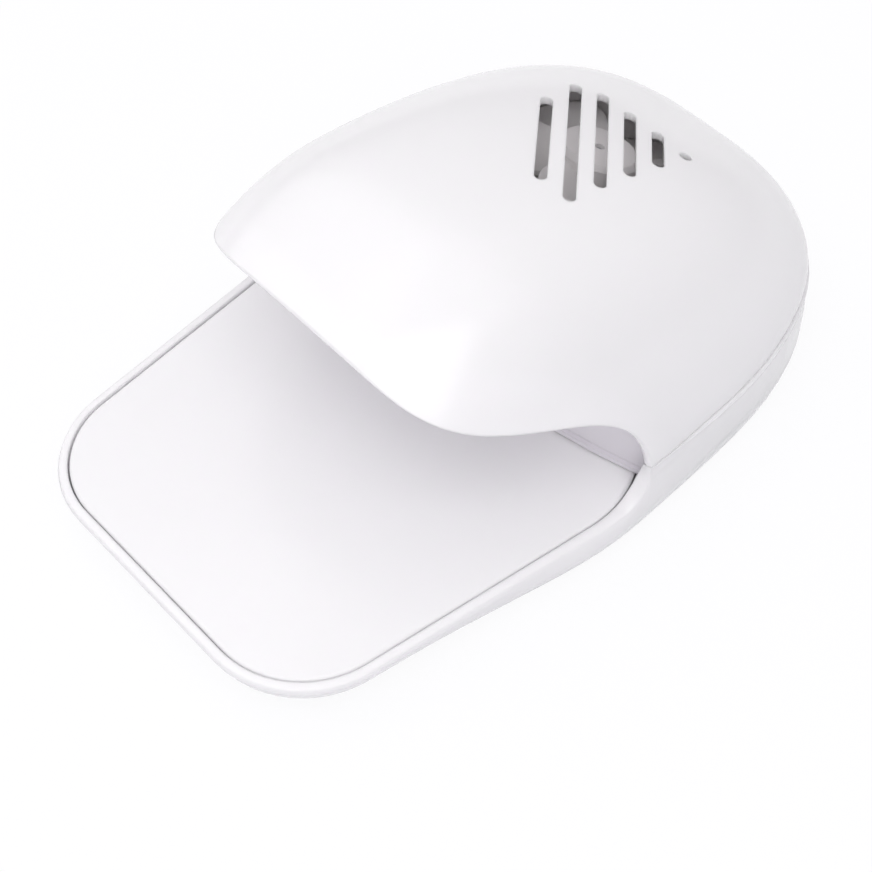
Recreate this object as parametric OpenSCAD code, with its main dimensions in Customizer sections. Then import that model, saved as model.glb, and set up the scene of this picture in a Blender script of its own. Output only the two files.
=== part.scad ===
// Battery nail polish fan dryer: a flat finger tray with a press plate, under a
// domed hood that holds a tilted fan. X is across, -Y is the finger side, +Z is up,
// and the origin lies on the table under the middle of the object.

/* [Hood] */
// Greatest half width of the hood
hood_half_w = 49.4; // [46:0.1:53]
// Height of the hood's crown above the table
hood_top = 65.3; // [60:0.1:70]
// Y where the hood is widest
wide_y = 0; // [-5:0.1:4]
// Y where the hood is highest
crown_y = -10.8; // [-16:0.1:-4]
// Radius in plan by which the hood narrows towards the finger side
front_plan_r = 117; // [90:1:160]
// Radius in side view by which the crown falls towards the finger side
front_crown_r = 46.5; // [40:0.5:60]
// Thickness of the hood's wall
hood_wall = 2; // [1.6:0.1:2.6]
// Y of the hood's lip at the middle, over the tray
lip_y = -39; // [-41:0.5:-35]
// Height of the lip at the middle
lip_top = 58.2; // [55:0.1:60]
// Y where the lip comes down to the joint with the base
notch_y = 5.3; // [3:0.1:8]

/* [Vents] */
// Width of a vent slot
vent_w = 2.5; // [1.6:0.1:3.5]
// Distance between neighbouring vent slots
vent_pitch = 5.6; // [5:0.1:7]
// Direction of the slots in plan, from the X axis
vent_angle = -47.5; // [-55:0.5:-40]
// Half width of the window that clips the slots
vent_half = 14.2; // [11:0.1:16]
// How far the window's left edge leans inwards towards the front, per mm
vent_lean = 0.2; // [0:0.05:0.3]
// Y of the window's front edge
vent_front_y = 14.3; // [12:0.1:20]
// Y of the window's rear edge
vent_rear_y = 48; // [44:0.1:52]

/* [Base] */
// Overall length of the base
base_l = 160; // [154:0.5:168]
// Half width of the tray's front edge, before its corners are rounded
tray_front_half_w = 41; // [38:0.1:44]
// Radius of the tray's front corners in plan
tray_corner_r = 22.5; // [18:0.5:27]
// Height of the tray's rim above the table
rim_top = 11.7; // [11.4:0.1:13]
// Height of the joint between hood and base
split_z = 20.5; // [20.3:0.1:23]
// Width of the tray's rim
rim_w = 2.1; // [2:0.1:3]
// Thickness of the base's wall and floor
base_wall = 1.8; // [1.6:0.1:2.2]
// Radius of the base's lower edge
keel_r = 6.1; // [5:0.1:7]
// How far the base flares out below the joint
base_flare = 1.4; // [0.8:0.1:2]
// How far the tray's front wall leans in towards its foot
tray_lean = 3.2; // [0:0.1:3.4]

/* [Press plate] */
// Gap between the press plate and the rim
plate_gap = 0.5; // [0.35:0.05:0.8]
// Thickness of the press plate
plate_t = 2; // [1.6:0.1:2.4]
// Depth of the plate's skirt below its top
plate_skirt = 2.9; // [2.4:0.1:3.1]
// Y of the plate's rear edge, hidden under the hood
plate_rear_y = 22; // [20:0.5:23]

/* [Fan] */
// Angle that the fan's axis leans back from the vertical
fan_tilt = 20; // [15:0.5:25]
// Distance of the top of the fan's hub from the hood's rear
fan_from_rear = 40.1; // [38.6:0.1:42.6]
// Height of the top of the fan's hub
fan_z = 48.4; // [46.5:0.1:49]
// Radius of the fan over its blade tips
fan_r = 21.6; // [18:0.1:22]
// Radius of the fan's hub
hub_r = 8.7; // [7.5:0.1:10]
// Number of fan blades
blades = 5; // [3:1:7]
// Radius of the motor's can
motor_r = 12.2; // [10.5:0.1:12.5]
// Length of the motor's can
motor_l = 12.3; // [11:0.1:13]

/* [Power] */
// Diameter of one cell
cell_d = 14.2; // [13.9:0.1:14.5]
// Length of one cell without its nub
cell_l = 49.2; // [48.5:0.1:49.5]
// Thickness of the battery door
door_t = 1.8; // [1.5:0.1:1.9]
// Diameter of the insulated wires
wire_d = 1.3; // [1:0.1:1.5]

/* [Feet] */
// Height that the rubber feet stand proud of the base
foot_h = 1.2; // [1:0.1:1.5]
// Radius of a rubber foot
foot_r = 4; // [3:0.1:4.5]

/* [Hidden] */
$fn = 48;

// Clearances: a fixed seat, a sliding or turning fit, and a free gap
seat = 0.15;
running = 0.05;
free_gap = 0.3;

// Shape of the hood: exponents of its plan, its side view and its cross-section
plan_front_n = 3.14;
plan_side_n = 3.01;
crown_fall_n = 1.5;
crown_rear_n = 1.84;
section_side_n = 3.22;
section_top_n = 1.4;

plate_top = rim_top;
floor_top = foot_h + base_wall;
base_front_y = -base_l / 2;
hood_rear_y = base_l / 2 - base_flare;
fan_y = hood_rear_y - fan_from_rear;

// ---- The hood's surface -----------------------------------------------------

// Half width of the hood in plan, t inside its outer surface
function hood_w(y, t = 0) =
    let (w = hood_half_w - t, end = hood_rear_y - t)
    y < wide_y ? w - pow(wide_y - y, 2) / (2 * front_plan_r)
               : w * pow(max(0, 1 - pow((y - wide_y) / (end - wide_y), plan_front_n)), 1 / plan_side_n);

// Height of the hood over the centre line, t inside its outer surface
function hood_h(y, t = 0) =
    let (top = hood_top - t, end = hood_rear_y - t)
    y < crown_y ? top - pow(crown_y - y, 2) / (2 * front_crown_r)
                : split_z + (top - split_z)
                  * pow(max(0, 1 - pow((y - crown_y) / (end - crown_y), crown_fall_n)), 1 / crown_rear_n);

// Point of the hood's cross-section at y; a is 0 on the +X side and 180 on the -X side
function hood_point(y, a, t = 0) = [
    hood_w(y, t) * sign(cos(a)) * pow(abs(cos(a)), 2 / section_side_n),
    y,
    split_z + (hood_h(y, t) - split_z) * pow(sin(a), 2 / section_top_n)
];

// Stations along the hood: even steps to the widest place, then closing round the rear
front_steps = 10;
rear_steps = 18;
function stations(y0, t) = concat(
    [for (i = [0 : front_steps - 1]) y0 + (wide_y - y0) * i / front_steps],
    [for (i = [0 : rear_steps - 1])
        wide_y + (hood_rear_y - t - wide_y) * pow(sin(90 * i / rear_steps), 2 / plan_front_n)]
);

// A closed skin over rings of equal length, with a flat cap or a pole at each end
function ring_faces(rings, n) = [
    for (i = [0 : rings - 2], j = [0 : n - 1])
        each [[i * n + j, i * n + (j + 1) % n, (i + 1) * n + (j + 1) % n],
              [i * n + j, (i + 1) * n + (j + 1) % n, (i + 1) * n + j]]
];
function cap_faces(first, n, up) = [
    for (j = [1 : n - 2]) up ? [first, first + j + 1, first + j] : [first, first + j, first + j + 1]
];

function turned(faces) = [for (f = faces) [f[2], f[1], f[0]]];

// The dome as a solid, t inside the outer surface, cut flat at the joint and at y0,
// and carried down below the joint by drop
module dome(y0, t, drop, columns) {
    ys = stations(y0, t);
    ring = columns + 3;
    points = [
        for (y = ys) each concat(
            [[hood_w(y, t), y, split_z - drop]],
            [for (j = [0 : columns]) hood_point(y, 180 * j / columns, t)],
            [[-hood_w(y, t), y, split_z - drop]]
        )
    ];
    last = len(points);
    tip = [[0, hood_rear_y - t, split_z], [0, hood_rear_y - t, split_z - drop]];
    start = (len(ys) - 1) * ring;
    polyhedron(
        concat(points, tip),
        concat(
            ring_faces(len(ys), ring),
            cap_faces(0, ring, true),
            [for (j = [1 : ring - 3]) [start + j, start + j + 1, last]],
            [[start, start + 1, last], [start, last, last + 1],
             [start + ring - 2, start + ring - 1, last], [start + ring - 1, last + 1, last],
             [start + ring - 1, start, last + 1]]
        )
    );
}

// Side view of the lip, from the middle of the hood down to the joint with the base
lip_curve = [[lip_y, lip_top], [lip_y + 2.5, lip_top - 18.3],
             [notch_y - 2, split_z + 28.8], [notch_y, split_z]];
function bezier(p, t) =
    pow(1 - t, 3) * p[0] + 3 * pow(1 - t, 2) * t * p[1] + 3 * (1 - t) * t * t * p[2] + pow(t, 3) * p[3];
lip_steps = 14;
module lip_cut() {
    reach = hood_half_w + 10;
    rotate([90, 0, 90])
        translate([0, 0, -reach])
            linear_extrude(2 * reach)
                polygon(concat(
                    [for (i = [0 : lip_steps]) bezier(lip_curve, i / lip_steps)],
                    [[notch_y, split_z - 30], [lip_y - 40, split_z - 30],
                     [lip_y - 40, hood_top + 10], [lip_y, hood_top + 10]]
                ));
}

// A straight slot with round ends, from a to b in plan
module plan_slot(a, b, w, h) {
    d = b - a;
    translate([a.x, a.y, 0])
        rotate([0, 0, atan2(d.y, d.x)])
            linear_extrude(h) {
                circle(d = w);
                translate([norm(d), 0]) circle(d = w);
                translate([0, -w / 2]) square([norm(d), w]);
            }
}

// Ends of the slot whose line lies u from the origin: it is clipped by the vent window
vent_dir = [cos(vent_angle), sin(vent_angle)];
vent_normal = [-vent_dir.y, vent_dir.x];
function on_line_x(u, x) = [x, (u - vent_normal.x * x) / vent_normal.y];
function on_line_y(u, y) = [(u - vent_normal.y * y) / vent_normal.x, y];
function on_left_edge(u) =
    on_line_y(u, (u + vent_normal.x * (vent_half - vent_lean * vent_rear_y))
                 / (vent_normal.y - vent_normal.x * vent_lean));
function vent_end_left(u) =
    let (p = on_line_y(u, vent_rear_y)) p.x > -vent_half ? p : on_left_edge(u);
function vent_end_right(u) =
    let (p = on_line_y(u, vent_front_y)) p.x < vent_half ? p : on_line_x(u, vent_half);
vent_first = vent_normal * [-vent_half, vent_front_y] + vent_pitch * 2.8;
vent_last = vent_normal * [vent_half, vent_rear_y];

module vent_slots() {
    translate([0, 0, split_z + 4])
        for (u = [vent_first : vent_pitch : vent_last])
            plan_slot(vent_end_left(u), vent_end_right(u), vent_w, hood_top);
}

// ---- The base's surface -----------------------------------------------------

// Half width of the tray: straight sides that ease into the hood's widest place
side_blend_l = 16;
tray_slope = (hood_half_w - tray_front_half_w) / (wide_y - base_front_y - side_blend_l / 2);
function side_w(y) =
    let (d = wide_y - y)
    hood_half_w - tray_slope * (d < side_blend_l ? pow(d, 2) / (2 * side_blend_l) : d - side_blend_l / 2);

// Right half of the tray's outline, from the middle of its front edge to the widest place
side_tilt = atan(tray_slope);
side_normal = [cos(side_tilt), -sin(side_tilt)];
corner_sweep = 90 - side_tilt;
corner_y = base_front_y + tray_corner_r;
corner_x = tray_front_half_w + tray_slope * tray_corner_r - tray_corner_r / cos(side_tilt);
corner_steps = 12;
side_steps = 12;
side_from_y = corner_y - tray_corner_r * sin(side_tilt);
tray_half = concat(
    [for (i = [0 : corner_steps])
        let (a = corner_sweep * i / corner_steps)
        [corner_x + tray_corner_r * sin(a), corner_y - tray_corner_r * cos(a)]],
    [for (i = [1 : side_steps - 1])
        let (y = side_from_y + (wide_y - side_from_y) * (1 - pow(1 - i / side_steps, 1.5)))
        [side_w(y), y]]
);
// Right half of the hood's outline behind it, with closer points up to the notch
notch_steps = 6;
rear_half = concat(
    [for (i = [0 : notch_steps])
        let (y = wide_y + (notch_y - wide_y) * sin(90 * i / notch_steps)) [hood_w(y), y]],
    [for (i = [1 : rear_steps - 1])
        let (y = wide_y + (hood_rear_y - wide_y) * pow(sin(90 * i / rear_steps), 2 / plan_front_n))
        [hood_w(y), y]]
);
half_count = len(tray_half) + len(rear_half);
right_half = concat(tray_half, rear_half);
outline = concat(
    right_half,
    [[0, hood_rear_y]],
    [for (i = [half_count - 1 : -1 : 0]) [-right_half[i].x, right_half[i].y]]
);
count = len(outline);

// Outward direction at each point of the outline
function unit(v) = v / norm(v);
outward = [
    for (i = [0 : count - 1])
        let (d = unit(outline[(i + 1) % count] - outline[(i + count - 1) % count])) [d.y, -d.x]
];

function ease(s) = let (c = min(1, max(0, s))) c * c * (3 - 2 * c);
// Height of the base's upper edge: low round the tray, then sweeping up to meet the
// hood's lip upright at the notch
rise_l = 8;
function sweep(s) = let (c = min(1, max(0, s))) 1 - sqrt(1 - c * c);
function top_z(y) = rim_top + (split_z - rim_top) * sweep((y - notch_y) / rise_l + 1);
// Radius of that edge: round where it shows, square where the hood stands on it
rim_round = 1.1;
square_r = 0.05;
round_fade_l = 4;
function edge_r(y) = square_r + (rim_round - square_r) * ease((notch_y - y) / round_fade_l);

// How far the base's outer surface lies outside the outline at height z: it flares out
// at the sides and the rear, leans in at the front, and turns under at the foot
flare_z = 6;
shoulder_l = 24;
function shoulder_z(y) = rim_top + (split_z - rim_top) * ease((y - notch_y) / shoulder_l + 1);
flare_from_y = base_front_y + 17;
flare_l = 67;
function keel(z) =
    let (h = z - foot_h)
    h >= keel_r ? 0 : keel_r - sqrt(pow(keel_r, 2) - pow(keel_r - max(0, h), 2));
function side_offset(y, z) =
    let (f = ease((y - flare_from_y) / flare_l), down = shoulder_z(y) - z)
    base_flare * f * ease(down / (shoulder_z(y) - flare_z))
    - tray_lean * (1 - f) * ease(down / (shoulder_z(y) - foot_h));

// Levels of the outer surface at column i, from the flat bottom to the upper edge
keel_steps = 5;
wall_steps = 4;
function outer_levels(i) =
    let (
        from = foot_h + keel_r,
        to = top_z(outline[i].y) - edge_r(outline[i].y)
    )
    concat(
        [for (k = [0 : keel_steps]) foot_h + keel_r * (1 - cos(90 * k / keel_steps))],
        [for (k = [1 : wall_steps]) from + (to - from) * k / wall_steps]
    );

function column_point(i, z, inside) =
    let (p = outline[i] + outward[i] * (side_offset(outline[i].y, z) - keel(z) - inside)) [p.x, p.y, z];

// Faces of a closed tub: rows of the outline from the bottom up, then the middle point
// of its bottom and the middle point of its top
function tub_faces(rows) =
    let (low = rows * count, top_row = low - count)
    turned(concat(
        ring_faces(rows, count),
        [for (j = [0 : count - 1]) [(j + 1) % count, j, low]],
        [for (j = [0 : count - 1]) [top_row + j, top_row + (j + 1) % count, low + 1]]
    ));

// Outer body of the base, solid, with the rim's outer edge rounded
module base_body() {
    rows = keel_steps + wall_steps + 3;
    walls = [
        for (k = [0 : keel_steps + wall_steps], i = [0 : count - 1])
            column_point(i, outer_levels(i)[k], 0)
    ];
    edge = [
        for (a = [45, 90], i = [0 : count - 1])
            let (
                r = edge_r(outline[i].y),
                low = outer_levels(i)[keel_steps + wall_steps],
                p = column_point(i, low, r * (1 - cos(a)))
            )
            [p.x, p.y, low + r * sin(a)]
    ];
    polyhedron(
        concat(walls, edge, [[0, wide_y, foot_h], [0, wide_y, rim_top]]),
        tub_faces(rows)
    );
}

// Space inside the base's wall, from its floor to above the joint
module base_inside() {
    wall = min(base_wall, rim_w - 0.6);
    r = keel_r - wall;
    steps = 3;
    levels = concat(
        [for (k = [0 : steps]) floor_top + r * (1 - cos(90 * k / steps))],
        [rim_top + 3, split_z + 1]
    );
    rows = len(levels);
    points = [
        for (z = levels, i = [0 : count - 1])
            let (
                h = min(r, z - floor_top),
                inset = wall + r - sqrt(pow(r, 2) - pow(r - h, 2)),
                p = outline[i] + outward[i] * (side_offset(outline[i].y, z) - inset)
            )
            [p.x, p.y, z]
    ];
    polyhedron(
        concat(points, [[0, wide_y, floor_top], [0, wide_y, split_z + 1]]),
        tub_faces(rows)
    );
}

// ---- Places shared by several pieces ----------------------------------------

// Plan of the press plate, grown outwards by grow: four round corners on a trapezoid
plate_front_r = tray_corner_r - rim_w - plate_gap;
plate_rear_r = 27;
plate_front_c = [corner_x, corner_y];
plate_rear_c = let (y = plate_rear_y - plate_rear_r)
    [(side_normal * plate_front_c + plate_front_r - plate_rear_r - side_normal.y * y) / side_normal.x, y];
module plate_plan(grow = 0) {
    rf = plate_front_r + grow;
    rr = plate_rear_r + grow;
    half = [
        [plate_front_c.x, plate_front_c.y - rf], plate_front_c + rf * side_normal,
        plate_rear_c + rr * side_normal, [plate_rear_c.x, plate_rear_c.y + rr]
    ];
    polygon(concat(half, [for (i = [3 : -1 : 0]) [-half[i].x, half[i].y]]));
    for (side = [-1, 1]) {
        translate([side * plate_front_c.x, plate_front_c.y]) circle(r = rf, $fn = 96);
        translate([side * plate_rear_c.x, plate_rear_c.y]) circle(r = rr, $fn = 96);
    }
}
plate_under = plate_top - plate_t;

// Pivot of the press plate
pivot = [19.5, plate_rear_y - 2.6, plate_under - 2.5];
pivot_pin_r = 1;
knuckle_r = 2.2;
knuckle_l = 6;
ear_l = 2.6;
ear_x = knuckle_l / 2 + seat + 0.1;

// Cross wall behind the plate, which is the front wall of the battery bay
cross_y = plate_rear_y + plate_gap + 0.1;
bay_wall = 1.6;
bay_y0 = cross_y + bay_wall + 0.2;
cell_y = [bay_y0 + free_gap + cell_d / 2, bay_y0 + 2 * free_gap + 1.5 * cell_d];
bay_y1 = cell_y[1] + cell_d / 2 + free_gap;
contact_room = 3.3;
bay_half = cell_l / 2 + contact_room;
door_top = foot_h + 0.1 + door_t;
cell_z = door_top + free_gap + cell_d / 2;
bay_top = cell_z + cell_d / 2 + 0.4;
ledge_w = 2.6;
ledge_t = 2;
door_gap = 0.3;
door_over = 1.5;

// Battery door's tongues and latch
tongue_x = 8;
tongue_w = 6;
tongue_t = 1;
tongue_reach = 2.2;
tongue_lift = 0.3;
latch_w = 9;
latch_t = 0.8;
latch_h = 4.6;

// Screws that hold the case together, from below
case_screw_at = [[41, cross_y + 4.4], [31, hood_rear_y - 18.1]];
post_r = 4;
post_top = 15;
case_head_r = 2.6;
case_head_h = 1.9;
case_shank_r = 1.25;
case_head_z = 6;
case_shank_l = 13;

// Fan frame, in the fan's own frame: z runs up the axis from the top of the hub
hub_h = 8;
shaft_r = 1;
ring_gap = 1.1;
ring_wall = 1.5;
ring_top = -1;
ring_h = 13;
cup_floor_z = -hub_h - 0.6;
cup_floor_t = 1.2;
cup_wall = 1.3;
cup_h = 9.4;
motor_top = cup_floor_z - cup_floor_t;
motor_bottom = motor_top - motor_l;
ear_z = -5;
ear_t = 2;
ear_r = fan_r + ring_gap + ring_wall + 3.4;
frame_boss_r = 2.8;
frame_screw_r = 0.98;
frame_screw_l = 5.6;
module on_fan_axis() {
    translate([0, fan_y, fan_z]) rotate([-fan_tilt, 0, 0]) children();
}
module at_frame_ears() {
    for (a = [45 : 90 : 315]) rotate([0, 0, a]) translate([ear_r, 0, 0]) children();
}
module at_case_screws() {
    for (p = case_screw_at, side = [-1, 1]) translate([side * p.x, p.y, 0]) children();
}

// Inner duct panel: its side view, and how far its sides sweep back
guide_t = 1.8;
guide_bow = 9;
guide_foot_y = notch_y - 3.7;
guide_curve = [[lip_y + 1, lip_top + 1.5], [lip_y + 24, lip_top - 9],
               [guide_foot_y, lip_top - 8], [guide_foot_y, rim_top + free_gap]];

// Push switch under the plate, and the two springs that lift it
lever_l = 50;
switch_y = pivot.y - lever_l;
switch_w = 6.2;
switch_h = 3.4;
button_r = 1.6;
button_top = plate_under - 1.4;
spring_at = [24, base_front_y + 20];
spring_r = 2.6;
spring_wire = 0.6;
hook_at = [30, base_front_y + 38];
hook_w = 5.2;

// ---- Pieces -----------------------------------------------------------------

module box(from, to) {
    translate(from) cube(to - from);
}

module hood_shell() {
    color("white")
    difference() {
        union() {
            difference() {
                dome(lip_y - 1, 0, 0, 32);
                difference() {
                    dome(lip_y - 2, hood_wall, 1, 20);
                    at_case_screws() cylinder(r = post_r - 0.6, h = hood_top);
                    on_fan_axis() at_frame_ears()
                        translate([0, 0, ear_z]) cylinder(r = frame_boss_r, h = hood_top / 2);
                }
            }
            at_case_screws()
                translate([0, 0, post_top + seat])
                    cylinder(r = post_r - 0.6, h = split_z - post_top + 2);
        }
        lip_cut();
        vent_slots();
        at_case_screws()
            translate([0, 0, post_top])
                cylinder(r = case_shank_r + 0.02, h = case_head_z + case_shank_l - post_top + 3);
        on_fan_axis() at_frame_ears()
            translate([0, 0, ear_z - 1]) cylinder(r = frame_screw_r + 0.02, h = frame_screw_l);
    }
}

module base_shell() {
    color("whitesmoke")
    difference() {
        union() {
            difference() {
                base_body();
                intersection() {
                    base_inside();
                    base_rooms();
                }
            }
            base_posts();
            bay_walls();
            pivot_ears();
            hook_gates();
            switch_fence();
        }
        bay_space();
        screw_wells();
        feet_wells();
    }
}

// The hollow parts of the base: the plate's well, the rear room, the space over the
// decks beside the well, and the pockets under those decks
module base_rooms() {
    high = split_z + 5;
    wide = hood_half_w + 10;
    deck_t = 2;
    translate([0, 0, foot_h]) linear_extrude(high) plate_plan(plate_gap);
    box([-wide, cross_y + bay_wall, foot_h], [wide, hood_rear_y + 5, high]);
    box([-wide, notch_y, rim_top], [wide, cross_y + bay_wall + 1, high]);
    over_banks();
    difference() {
        box([-wide, wide_y, foot_h], [wide, cross_y, rim_top - deck_t]);
        linear_extrude(high) plate_plan(plate_gap + bay_wall);
    }
}

// Space over the banks at the notch: it narrows downwards, from the hood's inner face at
// the joint to the edge of the plate's well
module over_banks() {
    from = notch_y - rise_l - 4;
    foot = 0.3;
    hull() {
        translate([0, 0, rim_top - foot]) linear_extrude(foot / 10) intersection() {
            plate_plan(plate_gap);
            translate([-hood_half_w, from]) square([2 * hood_half_w, notch_y + 0.1 - from]);
        }
        translate([0, 0, split_z]) linear_extrude(1) polygon([
            for (side = [1, -1], k = [0 : 3])
                let (y = from + (notch_y + 0.1 - from) * (side > 0 ? k : 3 - k) / 3)
                [side * ((y < wide_y ? side_w(y) : hood_w(y)) - hood_wall), y]
        ]);
    }
}

module base_posts() {
    at_case_screws() translate([0, 0, foot_h + 1]) cylinder(r = post_r, h = post_top - foot_h - 1);
    for (side = [-1, 1])
        translate([side * spring_at.x, spring_at.y, floor_top - 0.5])
            cylinder(r = spring_r - spring_wire - 0.2, h = 2);
}

module bay_walls() {
    box([-bay_half - bay_wall, cross_y, floor_top - 0.5],
        [bay_half + bay_wall, bay_y1 + bay_wall, bay_top + bay_wall]);
    box([-bay_half - ledge_w - 1.4, cross_y, door_top],
        [bay_half + ledge_w + 1.4, bay_y1 + ledge_w + 1.4, door_top + ledge_t]);
}

// Everything cut out of the base for the cells, their contacts and the door
wire_x = 35.3;
module bay_space() {
    box([-bay_half, bay_y0, foot_h - 1], [bay_half, bay_y1, bay_top]);
    box([-bay_half - door_over - door_gap, cross_y, foot_h - 1],
        [bay_half + door_over + door_gap, bay_y1 + door_over + door_gap, door_top + 0.05]);
    for (side = [-1, 1]) {
        translate([side * tongue_x, 0, 0])
            box([-tongue_w / 2 - 0.4, cross_y - 0.3, foot_h],
                [tongue_w / 2 + 0.4, bay_y0 + 0.1, door_top + 3.6]);
        // Channel for the wires beside the bay, through the well's wall and the cross wall
        box([side * wire_x - 1.4, cross_y - 9, floor_top],
            [side * wire_x + 1.4, cross_y + bay_wall + 0.1, floor_top + 3.6]);
    }
    // Slots for the contact tabs in the bay's ceiling
    for (y = cell_y)
        box([bay_half - 1.1, y - 1.9, bay_top - 0.1], [bay_half + 0.1, y + 1.9, bay_top + bay_wall + 0.1]);
    // Room for the door's latch
    box([-latch_w / 2 - 0.4, bay_y1 - 0.1, foot_h],
        [latch_w / 2 + 0.4, bay_y1 + latch_t + 0.4, door_top + latch_h + 0.6]);
}

module screw_wells() {
    at_case_screws() {
        translate([0, 0, -1]) cylinder(r = case_head_r + 0.3, h = case_head_z + case_head_h + 1);
        cylinder(r = case_shank_r + 0.15, h = post_top + 1);
    }
}

feet_at = [[30, base_front_y + 24], [20, hood_rear_y - 12]];
foot_seat = 0.8;
module at_feet() {
    for (p = feet_at, side = [-1, 1]) translate([side * p.x, p.y, 0]) children();
}
module feet_wells() {
    at_feet() translate([0, 0, foot_h - 1]) cylinder(r = foot_r + 0.1, h = foot_seat + 1);
}

module pivot_ears() {
    for (side = [-1, 1], end = [-1, 1])
        translate([side * pivot.x + end * (ear_x + ear_l / 2), pivot.y, 0])
            difference() {
                union() {
                    translate([-ear_l / 2, 0, pivot.z]) rotate([0, 90, 0]) cylinder(r = knuckle_r, h = ear_l);
                    box([-ear_l / 2, -knuckle_r, floor_top - 0.5], [ear_l / 2, knuckle_r, pivot.z]);
                }
                translate([-ear_l, 0, pivot.z]) rotate([0, 90, 0])
                    cylinder(r = pivot_pin_r + 0.02, h = 2 * ear_l);
            }
}

// Low gates on the floor that the plate's hooks catch under
gate_z = 6.4;
module hook_gates() {
    post = 1.2;
    half = hook_w / 2 + 0.4;
    for (side = [-1, 1]) translate([side * hook_at.x, hook_at.y, 0]) {
        for (end = [-1, 1])
            box([end * (half + post / 2) - post / 2, 0.8, floor_top - 0.5],
                [end * (half + post / 2) + post / 2, 2.8, gate_z + post]);
        box([-half - post / 2, 0.8, gate_z], [half + post / 2, 2.8, gate_z + post]);
    }
}

// Two ribs that hold the switch on the floor
module switch_fence() {
    for (end = [-1, 1])
        translate([0, switch_y + end * (switch_w / 2 + seat + 0.6), 0])
            box([-switch_w / 2, -0.6, floor_top - 0.5], [switch_w / 2, 0.6, floor_top + 2]);
}

// A sheet that follows the guide's side view and sweeps back towards its sides
module air_guide() {
    reach = hood_half_w + 5;
    bead_t = 1.1;
    bead_h = 1.3;
    color("gainsboro")
    difference() {
        intersection() {
            union() {
                guide_sheet(0, guide_t);
                // Bead along the foot
                intersection() {
                    guide_sheet(-bead_t, guide_t / 2);
                    box([-reach, guide_foot_y - 10, rim_top], [reach, guide_foot_y + 20, rim_top + free_gap + bead_h]);
                }
            }
            dome(lip_y - 1, hood_wall + seat, split_z - rim_top - free_gap, 20);
        }
        guide_outlets();
    }
}

guide_steps = 12;
guide_columns = 12;
module guide_sheet(front, back) {
    half = hood_half_w + 2;
    function slope(t) = unit(bezier(guide_curve, t + 0.01) - bezier(guide_curve, t - 0.01));
    function lattice(depth) = [
        for (i = [0 : guide_steps], j = [0 : guide_columns])
            let (
                t = i / guide_steps,
                x = half * (2 * j / guide_columns - 1),
                p = bezier(guide_curve, t),
                d = slope(t)
            )
            [x, p[0] - d[1] * depth + guide_bow * pow(x / half, 2) * t, p[1] + d[0] * depth]
    ];
    w = guide_columns + 1;
    size = (guide_steps + 1) * w;
    function at(i, j, layer) = layer * size + i * w + j;
    polyhedron(
        concat(lattice(front), lattice(back)),
        concat(
            [for (i = [0 : guide_steps - 1], j = [0 : guide_columns - 1])
                each [[at(i, j, 0), at(i, j + 1, 0), at(i + 1, j + 1, 0)],
                      [at(i, j, 0), at(i + 1, j + 1, 0), at(i + 1, j, 0)],
                      [at(i, j, 1), at(i + 1, j + 1, 1), at(i, j + 1, 1)],
                      [at(i, j, 1), at(i + 1, j, 1), at(i + 1, j + 1, 1)]]],
            [for (j = [0 : guide_columns - 1], e = [0, guide_steps])
                each e == 0
                    ? [[at(0, j, 0), at(0, j, 1), at(0, j + 1, 1)], [at(0, j, 0), at(0, j + 1, 1), at(0, j + 1, 0)]]
                    : [[at(e, j, 0), at(e, j + 1, 1), at(e, j, 1)], [at(e, j, 0), at(e, j + 1, 0), at(e, j + 1, 1)]]],
            [for (i = [0 : guide_steps - 1], e = [0, guide_columns])
                each e == 0
                    ? [[at(i, 0, 0), at(i + 1, 0, 1), at(i, 0, 1)], [at(i, 0, 0), at(i + 1, 0, 0), at(i + 1, 0, 1)]]
                    : [[at(i, e, 0), at(i, e, 1), at(i + 1, e, 1)], [at(i, e, 0), at(i + 1, e, 1), at(i + 1, e, 0)]]]
        )
    );
}

// Rows of air outlets in the upright part of the guide
outlet_h = 2.4;
outlet_w = 24;
outlet_rows = 5;
module guide_outlets() {
    for (row = [0 : outlet_rows - 1], side = [-1, 1])
        translate([side * (outlet_w / 2 + 2), 0, rim_top + 7 + row * 5])
            box([-outlet_w / 2, guide_foot_y - 20, 0], [outlet_w / 2, guide_foot_y + 20, outlet_h]);
}

module finger_plate() {
    color("white")
    difference() {
        union() {
            translate([0, 0, plate_under]) linear_extrude(plate_t) plate_plan();
            plate_ribs();
            plate_hooks();
            for (side = [-1, 1]) translate([side * pivot.x, pivot.y, 0]) {
                translate([-knuckle_l / 2, 0, pivot.z]) rotate([0, 90, 0]) cylinder(r = knuckle_r, h = knuckle_l);
                box([-knuckle_l / 2, -1.4, pivot.z], [knuckle_l / 2, 1.4, plate_under + 0.5]);
            }
            // Pad that bears on the switch's button
            translate([0, switch_y, button_top + running]) cylinder(r = 3, h = plate_under - button_top);
        }
        for (side = [-1, 1])
            translate([side * pivot.x - knuckle_l, pivot.y, pivot.z]) rotate([0, 90, 0])
                cylinder(r = pivot_pin_r + running, h = 2 * knuckle_l);
    }
}

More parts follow.
